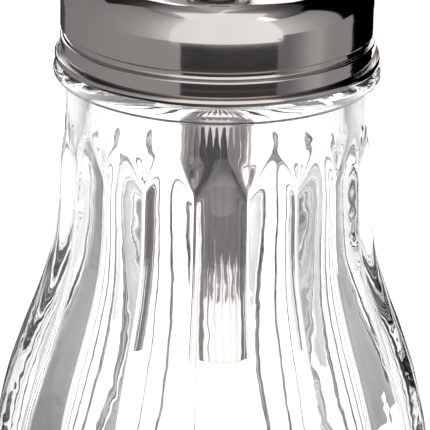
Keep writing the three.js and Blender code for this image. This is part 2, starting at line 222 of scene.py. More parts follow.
fillet, fillet_depth, thread_rows = 0.4, 0.1, 44
mouth = (
    [(finish_radius + fillet, ledge_height), (finish_radius + fillet_depth, ledge_height + fillet_depth)]
    + [(finish_radius, h) for h in np.linspace(ledge_height + fillet, rim_height - rim_round, thread_rows)]
    + arc((finish_radius - rim_round, rim_height - rim_round), rim_round, rim_round, 10, 90, 5)
    + arc((mouth_radius + rim_round, rim_height - rim_round), rim_round, rim_round, 90, 180, 5)
)
inside_flare = [(r - groove_depth(r, h) - glass_wall, h) for r, h in flare[::2]]
throat = inside_flare[-1]
throat_lead_in, throat_draft = 3.0, 0.03
# The first knot lies under the throat and only gives the curve its direction there.
inside_neck_knots = [
    (throat[0] + throat_draft, throat[1] - throat_lead_in),
    throat,
    (22.55, 88.5),
    (21.65, 94.5),
    (20.85, 99.5),
    (mouth_radius, 103.5),
    (mouth_radius, 111.0),
]
steps_a_knot = 6
neck_steps = steps_a_knot * (len(inside_neck_knots) - 1)
inside_neck = catmull_rom(inside_neck_knots, neck_steps)[steps_a_knot + 1 :]
floor_reach = inside_flare[0][0] - base_flat_radius
inside = (
    inside_neck[::-1]
    + inside_flare[::-1][1:]
    + arc((base_flat_radius, belly_height), floor_reach, belly_height - base_thickness, 0, -90, 20)[1:]
    + between((base_flat_radius, base_thickness), (0, base_thickness), 5)
)
jar_outline = foot + crests + neck + ring + mouth + inside
outside_rows = range(len(foot), len(foot) + len(crests) + len(neck))


def with_thread(wall, crest, width, start, start_turn, turns):
    """Raises one helical ridge on a round wall, towards its crest radius, fading at both its ends."""
    on_wall, steepness, fade = 1e-4, 1.45, 0.1

    def shape(place):
        radius = math.hypot(place.x, place.y)
        if abs(radius - wall) > on_wall:
            return place
        turn = (math.atan2(place.y, place.x) / (2 * math.pi) - start_turn) % 1
        swell = 0
        for lap in range(2):
            along = (turn + lap) / turns
            if along > 1:
                continue
            taper = min(1, along / fade, (1 - along) / fade)
            off = abs(place.z - start - (turn + lap) * thread_pitch) / (width / 2)
            ridge = min(1, max(0, steepness - steepness * off))
            swell = max(swell, ridge * math.sin(taper * math.pi / 2))
        scale = (wall + (crest - wall) * swell) / wall
        return Vector((place.x * scale, place.y * scale, place.z))

    return shape


jar_thread = with_thread(
    finish_radius, finish_radius + thread_height, thread_width, thread_start, 0, thread_turns
)
jar = turned("ribbed_glass_jar", jar_outline, rib_count * facets_per_rib, jar_thread)
depths = []
for row, (radius, height) in enumerate(jar_outline):
    count = 1 if radius < ON_AXIS else rib_count * facets_per_rib
    depths += [groove_depth(radius, height) * MM if row in outside_rows else -1.0] * count
attribute = jar.data.attributes.new("groove_depth", "FLOAT", "POINT")
attribute.data.foreach_set("value", depths)


def rib_tree():
    """The mould's ribs: pulls the blank's outside in between the crests, up to a round arch."""
    tree = bpy.data.node_groups.new("pressed_ribs", "GeometryNodeTree")
    face = tree.interface
    face.new_socket("Geometry", in_out="INPUT", socket_type="NodeSocketGeometry")
    for name, kind in [
        ("Rib Count", "NodeSocketFloat"),
        ("Rib Top Height", "NodeSocketFloat"),
        ("Arch Rise", "NodeSocketFloat"),
        ("Groove Run Out", "NodeSocketFloat"),
        ("Glass", "NodeSocketMaterial"),
    ]:
        face.new_socket(name, in_out="INPUT", socket_type=kind)
    face.new_socket("Geometry", in_out="OUTPUT", socket_type="NodeSocketGeometry")
    given = add_node(tree, "NodeGroupInput")

    def maths(operation, *values):
        sockets = {i: v for i, v in enumerate(values)}
        return add_node(tree, "ShaderNodeMath", sockets, operation=operation).outputs[0]

    depth = add_node(tree, "GeometryNodeInputNamedAttribute", {"Name": "groove_depth"}).outputs["Attribute"]
    place = add_node(tree, "GeometryNodeInputPosition").outputs[0]
    x, y, z = add_node(tree, "ShaderNodeSeparateXYZ", {0: place}).outputs
    radius = maths("SQRT", maths("ADD", maths("MULTIPLY", x, x), maths("MULTIPLY", y, y)))
    turn = maths("ADD", maths("DIVIDE", maths("ARCTAN2", y, x), 2 * math.pi), 0.25)
    rib = maths("MULTIPLY", turn, given.outputs["Rib Count"])
    off_crest = maths("MULTIPLY", maths("ABSOLUTE", maths("SUBTRACT", rib, maths("ROUND", rib))), 2)
    hollow = maths("MULTIPLY", off_crest, off_crest)
    top = given.outputs["Rib Top Height"]
    left = add_node(
        tree,
        "ShaderNodeMapRange",
        {
            "Value": maths("ADD", z, maths("MULTIPLY", given.outputs["Arch Rise"], hollow)),
            "From Min": maths("SUBTRACT", top, given.outputs["Groove Run Out"]),
            "From Max": top,
            "To Min": 1.0,
            "To Max": 0.0,
        },
        interpolation_type="SMOOTHSTEP",
    ).outputs[0]
    relief = maths("MULTIPLY", maths("MULTIPLY", depth, hollow), left)
    scale = maths("DIVIDE", maths("SUBTRACT", radius, relief), radius)
    moved = add_node(
        tree, "ShaderNodeCombineXYZ", {0: maths("MULTIPLY", x, scale), 1: maths("MULTIPLY", y, scale), 2: z}
    ).outputs[0]
    outside = add_node(
        tree, "FunctionNodeCompare", {0: depth, 1: -0.5}, data_type="FLOAT", operation="GREATER_THAN"
    ).outputs[0]
    pressed = add_node(
        tree,
        "GeometryNodeSetPosition",
        {"Geometry": given.outputs["Geometry"], "Selection": outside, "Position": moved},
    ).outputs[0]
    solid = add_node(tree, "GeometryNodeRealizeInstances", {"Geometry": pressed}).outputs[0]
    glazed = add_node(
        tree, "GeometryNodeSetMaterial", {"Geometry": solid, "Material": given.outputs["Glass"]}
    ).outputs[0]
    add_node(tree, "NodeGroupOutput", {"Geometry": glazed})
    return tree


def shaped_by_tree(piece, tree, values):
    """Runs a Geometry Nodes tree on a piece and keeps its result as the piece's plain mesh."""
    modifier = piece.modifiers.new(tree.name, "NODES")
    modifier.node_group = tree
    for socket in tree.interface.items_tree:
        if socket.in_out == "INPUT" and socket.name in values:
            modifier[socket.identifier] = values[socket.name]
    bpy.context.view_layer.update()
    graph = bpy.context.evaluated_depsgraph_get()
    made = bpy.data.meshes.new_from_object(piece.evaluated_get(graph))
    piece.modifiers.remove(modifier)
    made.name = piece.name
    piece.data = made


# Clear pressed soda-lime glass: index 1.52 and a bright fire-polished skin. The mould and the plunger
# leave slow waves a few millimetres long, which make the refracted lines waver. It dims light by a
# third in 4 cm, which greys the edges that light reaches along the ribs.
def pressed_glass():
    material = bpy.data.materials.new("pressed_soda_lime_glass")
    material.use_nodes = True
    tree = material.node_tree
    tree.nodes.clear()
    place = add_node(tree, "ShaderNodeTexCoord").outputs["Object"]
    wave_length, wave_height, smear_length = 6.5 * MM, 0.17 * MM, 15 * MM
    wave = add_node(
        tree,
        "ShaderNodeTexNoise",
        {"Vector": place, "Scale": 1 / wave_length, "Detail": 2.2, "Roughness": 0.45},
    ).outputs[0]
    skin = add_node(
        tree, "ShaderNodeBump", {"Height": wave, "Strength": 0.5, "Distance": wave_height}
    ).outputs[0]
    smear = add_node(
        tree, "ShaderNodeTexNoise", {"Vector": place, "Scale": 1 / smear_length, "Detail": 4}
    ).outputs[0]
    polish = add_node(
        tree,
        "ShaderNodeMapRange",
        {"Value": smear, "From Min": 0.35, "From Max": 0.75, "To Min": 0.0, "To Max": 0.02},
    ).outputs[0]
    shader = add_node(
        tree,
        "ShaderNodeBsdfPrincipled",
        {
            "Base Color": linear("#ffffff"),
            "Roughness": polish,
            "IOR": 1.52,
            "Transmission Weight": 1.0,
            "Normal": skin,
        },
    )
    dimming = add_node(
        tree, "ShaderNodeVolumeAbsorption", {"Color": linear("#303030"), "Density": 11.0}
    ).outputs[0]
    add_node(tree, "ShaderNodeOutputMaterial", {"Surface": shader.outputs[0], "Volume": dimming})
    return material


glass = pressed_glass()
shaped_by_tree(
    jar,
    rib_tree(),
    {
        "Rib Count": float(rib_count),
        "Rib Top Height": rib_top_height * MM,
        "Arch Rise": arch_rise * MM,
        "Groove Run Out": groove_run_out * MM,
        "Glass": glass,
    },
)
finished(jar, glass, "jar", "jar_glass", "glass_jar")

# The gasket is a flat ring stamped from clear silicone sheet. It lies loose on the jar's rim, and
# the insert's flange presses it down.
seat_gap = 0.3
insert_bore = 24.5
gasket_base, gasket_thickness, gasket_ease, gasket_facets = 112.7, 1.2, 0.2, 160


def mottled(name, colour, roughness, grain, bump, **extra):
    """A plastic or rubber with a fine grain in its skin, where it is a touch rougher or smoother."""
    unevenness = 0.08
    material = bpy.data.materials.new(name)
    material.use_nodes = True
    tree = material.node_tree
    tree.nodes.clear()
    place = add_node(tree, "ShaderNodeTexCoord").outputs["Object"]
    noise = add_node(
        tree, "ShaderNodeTexNoise", {"Vector": place, "Scale": 1 / grain, "Detail": 3}
    ).outputs[0]
    skin = add_node(tree, "ShaderNodeBump", {"Height": noise, "Strength": 0.4, "Distance": bump}).outputs[0]
    rough = add_node(
        tree,
        "ShaderNodeMapRange",
        {"Value": noise, "To Min": roughness - unevenness, "To Max": roughness + unevenness},
    ).outputs[0]
    sockets = {"Base Color": linear(colour), "Roughness": rough, "Normal": skin, **extra}
    shader = add_node(tree, "ShaderNodeBsdfPrincipled", sockets)
    add_node(tree, "ShaderNodeOutputMaterial", {"Surface": shader.outputs[0]})
    return material


# Silicone: satin, a little milky, with light running through it.
silicone = mottled(
    "clear_silicone", "#dfe2df", 0.45, 0.6 * MM, 0.01 * MM,
    **{"IOR": 1.41, "Subsurface Weight": 0.5, "Subsurface Scale": 2 * MM},
)
gasket_inner, gasket_outer = mouth_radius + rim_round, insert_bore - seat_gap
gasket = turned(
    "silicone_gasket",
    eased(
        [
            (gasket_inner, gasket_base),
            (gasket_outer, gasket_base),
            (gasket_outer, gasket_base + gasket_thickness),
            (gasket_inner, gasket_base + gasket_thickness),
        ],
        gasket_ease,
    ),
    gasket_facets,
)
finished(gasket, silicone, "seal", "gasket_silicone", "sealing_gasket")

# The insert is a moulded screw ring of white polypropylene. The lid's rolled groove snaps into its
# waist and holds it, and one turn of thread inside it runs on the jar's.
groove_height, groove_radius, groove_round = 108.5, 26.2, 0.7
drum_radius, skirt_radius, sheet = 27.2, 27.0, 0.5
insert_foot, insert_flange_base, insert_top = 104.1, 114.2, 115.2
insert_ease, insert_facets, insert_thread_rows = 0.15, 180, 50
insert_thread_width, crest_clearance = 1.4, 0.3
insert_waist = groove_radius - sheet - seat_gap
upper_outer, lower_outer = drum_radius - sheet - seat_gap, skirt_radius - sheet - seat_gap
waist_half, eased_half = groove_round + seat_gap, 2 * groove_round + seat_gap
insert_outline = eased(
    [
        (insert_bore, insert_foot),
        (lower_outer, insert_foot),
        (lower_outer, groove_height - eased_half),
        (insert_waist, groove_height - waist_half),
        (insert_waist, groove_height + waist_half),
        (upper_outer, groove_height + eased_half),
        (upper_outer, insert_top),
        (mouth_radius, insert_top),
        (mouth_radius, insert_flange_base),
        (insert_bore, insert_flange_base),
    ],
    insert_ease,
    steps=3,
)
insert_outline += between(insert_outline[-1], insert_outline[0], insert_thread_rows)[:-1]
insert_thread = with_thread(
    insert_bore,
    finish_radius + crest_clearance,
    insert_thread_width,
    thread_start - thread_pitch / 4,
    start_turn=0.25,
    turns=1,
)
insert = turned("screw_insert", insert_outline, insert_facets, insert_thread)
# Polypropylene: white with a warm cast, satin from the mould, soft in the light.
polypropylene = mottled(
    "moulded_polypropylene", "#e9e8e2", 0.42, 0.8 * MM, 0.015 * MM,
    **{"IOR": 1.49, "Subsurface Weight": 0.25, "Subsurface Scale": 1.5 * MM},
)
finished(insert, polypropylene, "lid", "insert_plastic", "thread_insert")

# The lid is drawn from one sheet of stainless steel, half a millimetre thick, and mirror-polished
# on a spindle. Its edge is rolled outwards into a bead, and a groove is rolled in over the insert.
hem_middle, hem_outer_radius, hem_height = 104.1, 28.15, 1.4
hem_top_round, hem_taper, hem_flatness = 0.55, 0.1, 0.7
# The skirt stands a little proud. At these heights it leans in towards its foot by so many degrees.
skirt_swell, skirt_rows = 0.2, 41
skirt_heights = (104.1, 105.0, 105.5, 106.1, 106.7, 107.3, 107.8)
skirt_leans = (2, 3.5, -0.5, 4.5, 0.5, 3.5, 3.5)
lid_facets = 288
shoulder_height, shoulder_radius = 114.4, 5.7
cone_slope = math.radians(16)
tube_radius = 6.1
shoulder_middle = drum_radius - shoulder_radius
cone_foot_radius = shoulder_middle + shoulder_radius * math.sin(cone_slope)
cone_foot_height = shoulder_height + shoulder_radius * math.cos(cone_slope)
cone_thickness = sheet / math.cos(cone_slope)
lid_bore = tube_radius + seat_gap


def cone_at(radius):
    """The height of the cone's outer face at a radius."""
    return cone_foot_height + (cone_foot_radius - radius) * math.tan(cone_slope)


def groove_lip(wall, side, inset):
    """One lip of the groove: an S from a wall to the groove's floor."""
    reach, half = (wall - groove_radius) / 2, groove_round / 2
    middle = groove_height + side * groove_round
    low = (groove_radius - inset + reach, middle - side * half)
    high = (groove_radius - inset + reach, middle + side * half)
    return arc(low, -reach, side * half, 0, 90, 8) + arc(high, reach, -side * half, 90, 0, 8)[1:]


def lid_face(inset):
    """One face of the lid above its hem, from the skirt up to the bore. The inner face is inset."""
    lower = groove_lip(skirt_radius + skirt_swell, -1, inset)[::-1]
    heights = np.linspace(lower[0][1], hem_middle, skirt_rows)
    leans = np.tan(np.radians(np.interp(heights, skirt_heights, skirt_leans)))
    drawn_in = np.cumsum(leans) * (heights[0] - heights[1])
    skirt = [(lower[0][0] - float(d), float(h)) for d, h in zip(drawn_in, heights)][:0:-1]
    upper = groove_lip(drum_radius, 1, inset)
    wall = between(upper[-1], (drum_radius - inset, shoulder_height), 4)[:-1]
    round_top = 90 - math.degrees(cone_slope)
    radius = shoulder_radius - inset
    shoulder = arc((shoulder_middle, shoulder_height), radius, radius, 0, round_top, 28)
    bore = (lid_bore, cone_at(lid_bore) - (cone_thickness if inset else 0))
    return skirt + lower + upper + wall + shoulder + between(shoulder[-1], bore, 14)


def hem_face(inset):
    """One face of the rolled hem, from the skirt's inside round to its free edge."""
    inner, outer = skirt_radius - sheet + inset, hem_outer_radius - inset
    low, high = hem_middle - hem_height / 2 + inset, hem_middle + hem_height / 2 - inset
    foot_round, top_round = (outer - inner - hem_taper) / 2, hem_top_round - inset
    foot_rise = foot_round * hem_flatness
    fold = arc((inner + foot_round, low + foot_rise), foot_round, foot_rise, 180, 355, 30)
    edge = arc((outer - top_round, high - top_round), top_round, top_round, -3, 68, 16)
    return [(inner, hem_middle)] + fold + edge


lid_outline = hem_face(0) + hem_face(sheet)[::-1] + lid_face(0)[1:] + lid_face(sheet)[:0:-1]
lid = turned("drawn_steel_lid", lid_outline, lid_facets)


# Stainless steel: a neutral, faintly warm grey mirror. Polishing leaves lines round the axis too fine
# to see one by one, and handling leaves faint smears.
def polished_steel(name, colour, roughness, line_width, along):
    material = bpy.data.materials.new(name)
    material.use_nodes = True
    tree = material.node_tree
    tree.nodes.clear()
    place = add_node(tree, "ShaderNodeTexCoord").outputs["Object"]
    x, y, z = add_node(tree, "ShaderNodeSeparateXYZ", {0: place}).outputs
    level = add_node(
        tree, "ShaderNodeVectorMath", {0: place, 1: (1, 1, 0)}, operation="MULTIPLY"
    ).outputs[0]
    radius = add_node(tree, "ShaderNodeVectorMath", {0: level}, operation="LENGTH").outputs["Value"]
    turn = add_node(tree, "ShaderNodeMath", {0: y, 1: x}, operation="ARCTAN2").outputs[0]
    turn = add_node(tree, "ShaderNodeMath", {0: turn, 1: along}, operation="MULTIPLY").outputs[0]
    spun = add_node(tree, "ShaderNodeCombineXYZ", {0: radius, 1: turn, 2: z}).outputs[0]
    lines = add_node(
        tree, "ShaderNodeTexNoise", {"Vector": spun, "Scale": 1 / line_width, "Detail": 2, "Roughness": 0.6}
    ).outputs[0]
    line_depth, smear_length = 0.004 * MM, 9 * MM
    skin = add_node(
        tree, "ShaderNodeBump", {"Height": lines, "Strength": 0.1, "Distance": line_depth}
    ).outputs[0]
    smear = add_node(
        tree, "ShaderNodeTexNoise", {"Vector": place, "Scale": 1 / smear_length, "Detail": 5}
    ).outputs[0]
    polish = add_node(
        tree,
        "ShaderNodeMapRange",
        {
            "Value": smear,
            "From Min": 0.3,
            "From Max": 0.7,
            "To Min": roughness * 0.8,
            "To Max": roughness * 1.3,
        },
    ).outputs[0]
    shader = add_node(
        tree,
        "ShaderNodeBsdfPrincipled",
        {"Base Color": linear(colour), "Metallic": 1.0, "Roughness": polish, "Normal": skin},
    )
    add_node(tree, "ShaderNodeOutputMaterial", {"Surface": shader.outputs[0]})
    return material


lid_steel = polished_steel("spun_polished_stainless_steel", "#cecac8", 0.075, 0.4 * MM, 0.004)
finished(lid, lid_steel, "lid", "polished_steel", "lid_shell")

# The dosing tube is bright drawn stainless tube, 12.2 mm across with a wall of half a millimetre,
# cut square at its foot, aslant at its mouth, and deburred. It doses one spoonful a tilt.
tube_wall, tube_ease = 0.5, 0.12
tube_foot_height, spout_height = 48.5, 16.6
mouth_height = cone_at(0) + spout_height
mouth_slope = math.radians(18)
shear_start = 0.65  # the slanted mouth's shear fades out by this share of the tube's length
tube_facets, tube_rows = 96, 60
tube_outline = eased(
    [
        (tube_radius - tube_wall, tube_foot_height),
        (tube_radius, tube_foot_height),
        (tube_radius, mouth_height),
        (tube_radius - tube_wall, mouth_height),
    ],
    tube_ease,
    steps=3,
)
corner = len(tube_outline) // 2
tube_outline = (
    tube_outline[:corner]
    + between(tube_outline[corner - 1], tube_outline[corner], tube_rows)[:-1]
    + tube_outline[corner:]
    + between(tube_outline[-1], tube_outline[0], tube_rows)[:-1]
)


def cut_aslant(place):
    """Shears the tube's upper end to its slanted mouth."""
    share = (place.z - tube_foot_height) / (mouth_height - tube_foot_height)
    sheared = max(0, min(1, (share - shear_start) / (1 - shear_start)))
    return Vector((place.x, place.y, place.z + math.tan(mouth_slope) * place.y * sheared))


tube = turned("dosing_tube", tube_outline, tube_facets, cut_aslant)
# Drawn steel: brighter along than across, with faint lines along the tube from the die.
tube_steel = polished_steel("bright_drawn_stainless_steel", "#d6d2d0", 0.05, 0.25 * MM, 0.0061)
finished(tube, tube_steel, "lid", "drawn_steel", "pour_tube")

# The collar is a steel ring pressed over the tube and brazed to it. It closes the joint on top of
# the cone.
collar_width, collar_rise, collar_round, collar_ease, collar_chamfer = 2.0, 2.2, 0.8, 0.15, 0.1
collar_inner = tube_radius + seat_gap
collar_outer = collar_inner + collar_width
collar_foot, collar_edge = cone_at(collar_inner) + seat_gap, cone_at(collar_outer) + seat_gap
collar_top = collar_foot + collar_rise
collar_outline = (
    [(collar_inner, collar_foot), (collar_outer - collar_chamfer, collar_edge)]
    + [(collar_outer, collar_edge + collar_chamfer)]
    + arc((collar_outer - collar_round, collar_top - collar_round), collar_round, collar_round, 0, 90, 10)
    + arc((collar_inner + collar_ease, collar_top - collar_ease), collar_ease, collar_ease, 90, 180, 4)
)
ring_facets = 128
collar = turned("brazed_collar", collar_outline, ring_facets)
finished(collar, lid_steel, "lid", "polished_steel", "spout_collar")

# The flange is a flat steel ring brazed to the tube under the cone. With the collar it grips the
# sheet.
flange_width, flange_thickness, flange_ease = 4.6, 0.9, 0.15
flange_inner = tube_radius + seat_gap
flange_outer = flange_inner + flange_width


def under_cone(radius):
    """The height of the flange's upper face at a radius."""
    return cone_at(radius) - cone_thickness - seat_gap


flange = turned(
    "brazed_flange",
    eased(
        [
            (flange_inner, under_cone(flange_inner) - flange_thickness),
            (flange_outer, under_cone(flange_outer) - flange_thickness),
            (flange_outer, under_cone(flange_outer)),
            (flange_inner, under_cone(flange_inner)),
        ],
        flange_ease,
    ),
    ring_facets,
)
finished(flange, tube_steel, "lid", "drawn_steel", "tube_flange")

# The bracket is stamped from stainless sheet: two ears that hold the hinge pin, on a saddle that is
# brazed to the back of the tube.
flap_sheet, flap_radius = 0.6, 8.0
pin_radius, running_gap = 0.8, 0.1
knuckle_width, ear_gap, ear_thickness = 4.4, 0.25, 0.8
knuckle_radius = pin_radius + running_gap + flap_sheet
flap_middle = seat_gap + flap_sheet / 2
hinge_reach = flap_radius + seat_gap + knuckle_radius
hinge_y = hinge_reach * math.cos(mouth_slope) - flap_middle * math.sin(mouth_slope)
hinge_z = mouth_height + hinge_reach * math.sin(mouth_slope) + flap_middle * math.cos(mouth_slope)
ear_inside = knuckle_width / 2 + ear_gap
ear_outside = ear_inside + ear_thickness
saddle_thickness, ears_below_pin, saddle_below_pin = 0.9, 9.0, 2.2
saddle_back = tube_radius + seat_gap + saddle_thickness
bracket_foot, saddle_top = hinge_z - ears_below_pin, hinge_z - saddle_below_pin
at_hinge = Matrix.Translation((0, hinge_y * MM, hinge_z * MM))
along_hinge = at_hinge @ Matrix.Rotation(math.pi / 2, 4, "Y")
weld_overlap, overrun = 0.3, 1.0  # how far welded parts lap, and how far a cut reaches past a face
rod_facets = 48


def plate(outline, low, thickness, turn, bevel):
    """A flat outline given a thickness, with eased edges. A turn takes (u, v, w) to (x, y, z)."""
    sharp = math.radians(50)
    work = bmesh.new()
    below, above = [[work.verts.new(turn(u, v, w)) for u, v in outline] for w in (low, low + thickness)]
    for i in range(len(outline)):
        k = (i + 1) % len(outline)
        work.faces.new([below[i], below[k], above[k], above[i]])
    work.faces.new(below[::-1])
    work.faces.new(above)
    bmesh.ops.recalc_face_normals(work, faces=work.faces)
    if bevel:
        rims = [e for e in work.edges if len(e.link_faces) == 2 and e.calc_face_angle(0) > sharp]
        bmesh.ops.bevel(work, geom=rims, offset=bevel, segments=2, profile=0.6, affect="EDGES")
    mesh = bpy.data.meshes.new("part")
    work.to_mesh(mesh)
    work.free()
    mesh.transform(Matrix.Scale(MM, 4))
    piece = bpy.data.objects.new("part", mesh)
    bpy.context.scene.collection.objects.link(piece)
    return piece


def along_x(u, v, w):
    """Carries an outline in (y, z) along X."""
    return (w, u, v)


def rod(radius, length, facets=rod_facets, ease=0.0):
    """A rod along X on the hinge's axis."""
    half = length / 2
    start, end = [(radius, -half)], [(radius, half)]
    if ease:
        start = [(radius - ease, -half), (radius, -half + ease)]
        end = [(radius, half - ease), (radius - ease, half)]
    piece = turned("part", [(0, -half), *start, *end, (0, half)], facets)
    piece.data.transform(along_hinge)
    return piece


def joined(name, parts, cuts=()):
    """Welds overlapping parts into one solid, takes the cuts out of it and shades it by its edges."""
    sharp = math.radians(32)
    base = parts[0]
    for operation, tools in (("UNION", parts[1:]), ("DIFFERENCE", cuts)):
        for tool in tools:
            modifier = base.modifiers.new("weld", "BOOLEAN")
            modifier.operation, modifier.object, modifier.solver = operation, tool, "EXACT"
    bpy.context.view_layer.update()
    graph = bpy.context.evaluated_depsgraph_get()
    mesh = bpy.data.meshes.new_from_object(base.evaluated_get(graph))
    for part in [*parts, *cuts]:
        bpy.data.objects.remove(part)
    mesh.name = name
    mesh.shade_smooth()
    mesh.set_sharp_from_angle(angle=sharp)
    piece = bpy.data.objects.new(name, mesh)
    bpy.context.scene.collection.objects.link(piece)
    return piece


eye = arc((hinge_y, hinge_z), knuckle_radius, knuckle_radius, -50, 205, 28)
inside_tube = 5.0  # the blanks start here, and the tube's space is cut out of them
foot_edge = [(inside_tube, bracket_foot), (saddle_back, bracket_foot)]
top_edge = [(saddle_back, saddle_top), (inside_tube, saddle_top)]
space_radius, space_foot = tube_radius + seat_gap, bracket_foot - overrun
space_outline = [(0, space_foot), (space_radius, space_foot), (space_radius, hinge_z), (0, hinge_z)]
tube_space = turned("part", space_outline, tube_facets)
saddle_half, saddle_bevel, ear_bevel = ear_inside + weld_overlap, 0.1, 0.14
bracket = joined(
    "hinge_bracket_ears",
    [
        plate(foot_edge + top_edge, -saddle_half, 2 * saddle_half, along_x, saddle_bevel),
        plate(foot_edge + eye + top_edge, -ear_outside, ear_thickness, along_x, ear_bevel),
        plate(foot_edge + eye + top_edge, ear_inside, ear_thickness, along_x, ear_bevel),
    ],
    [rod(pin_radius + running_gap, 2 * (ear_outside + overrun)), tube_space],
)
finished(bracket, lid_steel, "lid", "polished_steel", "hinge_bracket")

# The pin is a rivet of drawn stainless wire through both ears and the flap's knuckle. It comes with
# one head, and the other is closed in place.
pin_head_radius, pin_head_thickness, head_rim, head_chamfer = 1.3, 0.6, 0.12, 0.06
shank_half = ear_outside + ear_gap
head_end = shank_half + pin_head_thickness
head = arc((0, shank_half + head_rim), pin_head_radius, pin_head_thickness - head_rim, 0, 90, 10)
pin_half = (
    [(pin_radius, 0), (pin_radius, shank_half), (pin_head_radius - head_chamfer, shank_half)]
    + head[:-1]
    + [(0, head_end)]
)
pin = turned("riveted_pin", [(r, -h) for r, h in pin_half[::-1][:-1]] + pin_half, rod_facets)
pin.data.transform(along_hinge)
finished(pin, tube_steel, "lid", "drawn_steel", "hinge_pin")

# The flap is stamped from steel sheet: a shallow crowned cap with a turned-down rim and a lip in front
# for the thumb. Its sheet runs back as a tongue, rolls round the pin and ends in a heel that stops it.
rim_depth, rim_knee, rim_ease, cap_facets = 1.5, 0.5, 0.2, 128
crown_rise, crown_dip, crown_power = 0.8, 0.12, 0.9
shoulder_inside, shoulder_outside, crown_end = 0.3, 0.8, 0.05
lip_reach, lip_rise, lip_width, lip_round, lip_start, lip_bevel = 2.2, 0.7, 5.0, 1.6, -4.6, 0.12
tongue_start, tongue_bevel, knuckle_facets, knuckle_ease = 6.0, 0.08, 64, 0.1
heel_thickness, heel_lean, flap_opening = 0.8, math.radians(65), math.radians(100)
heel_start, heel_bevel, stop_gap = 0.5, 0.1, 0.15
cap_inner = flap_radius - flap_sheet
on_mouth = Matrix.Translation((0, 0, mouth_height * MM)) @ Matrix.Rotation(mouth_slope, 4, "X")


def crown(lift, reach):
    """The cap's crown, from the middle outwards."""
    points = []
    for share in np.linspace(0, 1, 15):
        dome = math.cos(share * math.pi / 2) ** crown_power * (1 - crown_dip * share)
        points.append((reach * share, lift + crown_rise * dome))
    return points


cap_top = seat_gap + flap_sheet
inside_middle = (cap_inner - shoulder_inside, seat_gap - shoulder_inside)
outside_middle = (flap_radius - shoulder_outside, cap_top - shoulder_outside)
rim = [(cap_inner, -rim_knee), (cap_inner, -rim_depth), (flap_radius, -rim_depth), (flap_radius, -rim_knee)]
cap_outline = (
    crown(seat_gap, inside_middle[0] - crown_end)
    + arc(inside_middle, shoulder_inside, shoulder_inside, 80, 0, 5)
    + eased(rim, rim_ease, closed=False)
    + arc(outside_middle, shoulder_outside, shoulder_outside, 0, 84, 9)
    + crown(cap_top, outside_middle[0] - crown_end)[::-1]
)
cap = turned("part", cap_outline, cap_facets)


def flat(u, v, w):
    """Carries an outline in (x, y) up along Z."""
    return (u, v, w)


def lip_turn(u, v, w):
    """Carries an outline in (x, y) up along Z, rising towards the lip's free edge."""
    rise = max(0.0, (-v - cap_inner + flap_sheet) / (lip_reach + 2 * flap_sheet))
    return (u, v, w + lip_rise * rise**1.5)


def strip(half_width, start, end):
    """The outline of a straight strip along Y."""
    return [(-half_width, start), (half_width, start), (half_width, end), (-half_width, end)]


lip_half = lip_width / 2
lip_round_middle = lip_round - flap_radius - lip_reach
lip_side = between((lip_half, lip_start), (lip_half, lip_round_middle), 6)
lip_outline = (
    [(lip_half, lip_start)]
    + lip_side
    + arc((0, lip_round_middle), lip_half, lip_round, 0, -180, 20)[1:]
    + [(-u, v) for u, v in lip_side[::-1][1:]]
    + [(-lip_half, lip_start)]
)
lip = plate(lip_outline, seat_gap, flap_sheet, lip_turn, lip_bevel)
knuckle_half = knuckle_width / 2
tongue = plate(strip(knuckle_half, tongue_start, hinge_reach), seat_gap, flap_sheet, flat, tongue_bevel)
ear_space = plate(
    strip(ear_outside + seat_gap, 0, flap_radius + overrun),
    -rim_depth - overrun,
    seat_gap + rim_depth + overrun,
    flat,
    0,
)
heel_reach = hinge_y - saddle_back - stop_gap - heel_thickness / 2 * math.sin(heel_lean)
heel_outline = strip(knuckle_half, heel_start, heel_reach / math.cos(heel_lean))
heel = plate(heel_outline, -heel_thickness / 2, heel_thickness, flat, heel_bevel)
for part in (cap, lip, tongue, ear_space):
    part.data.transform(on_mouth)
heel.data.transform(at_hinge @ Matrix.Rotation(math.pi + heel_lean + flap_opening, 4, "X"))
notched = joined("part", [cap], [ear_space])
flap = joined(
    "stamped_flap",
    [notched, tongue, lip, rod(knuckle_radius, knuckle_width, knuckle_facets, knuckle_ease), heel],
    [rod(pin_radius + running_gap, knuckle_width + 2 * overrun)],
)
finished(flap, lid_steel, "flap", "polished_steel", "flap")

# The table is a pale seamless sheet, and the light is a white room with grey and black cards that
# polished steel and clear glass need for their edges. None of them is part of the object.
floor_mesh = bpy.data.meshes.new("pale_floor")
floor_half = 6.0
floor_corners = [(x, y, 0) for x, y in strip(floor_half, -floor_half, floor_half)]
floor_mesh.from_pydata(floor_corners, [], [(0, 1, 2, 3)])
floor = bpy.data.objects.new("pale_floor", floor_mesh)
bpy.context.scene.collection.objects.link(floor)
paper = bpy.data.materials.new("pale_paper")
paper.use_nodes = True
paper_nodes = paper.node_tree.nodes["Principled BSDF"]
paper_nodes.inputs["Base Color"].default_value = linear("#fbfbfb")
paper_nodes.inputs["Roughness"].default_value = 0.9
floor_mesh.materials.append(paper)

lid_centre = Vector((0, 0, 0.112))
table_gap = 0.002


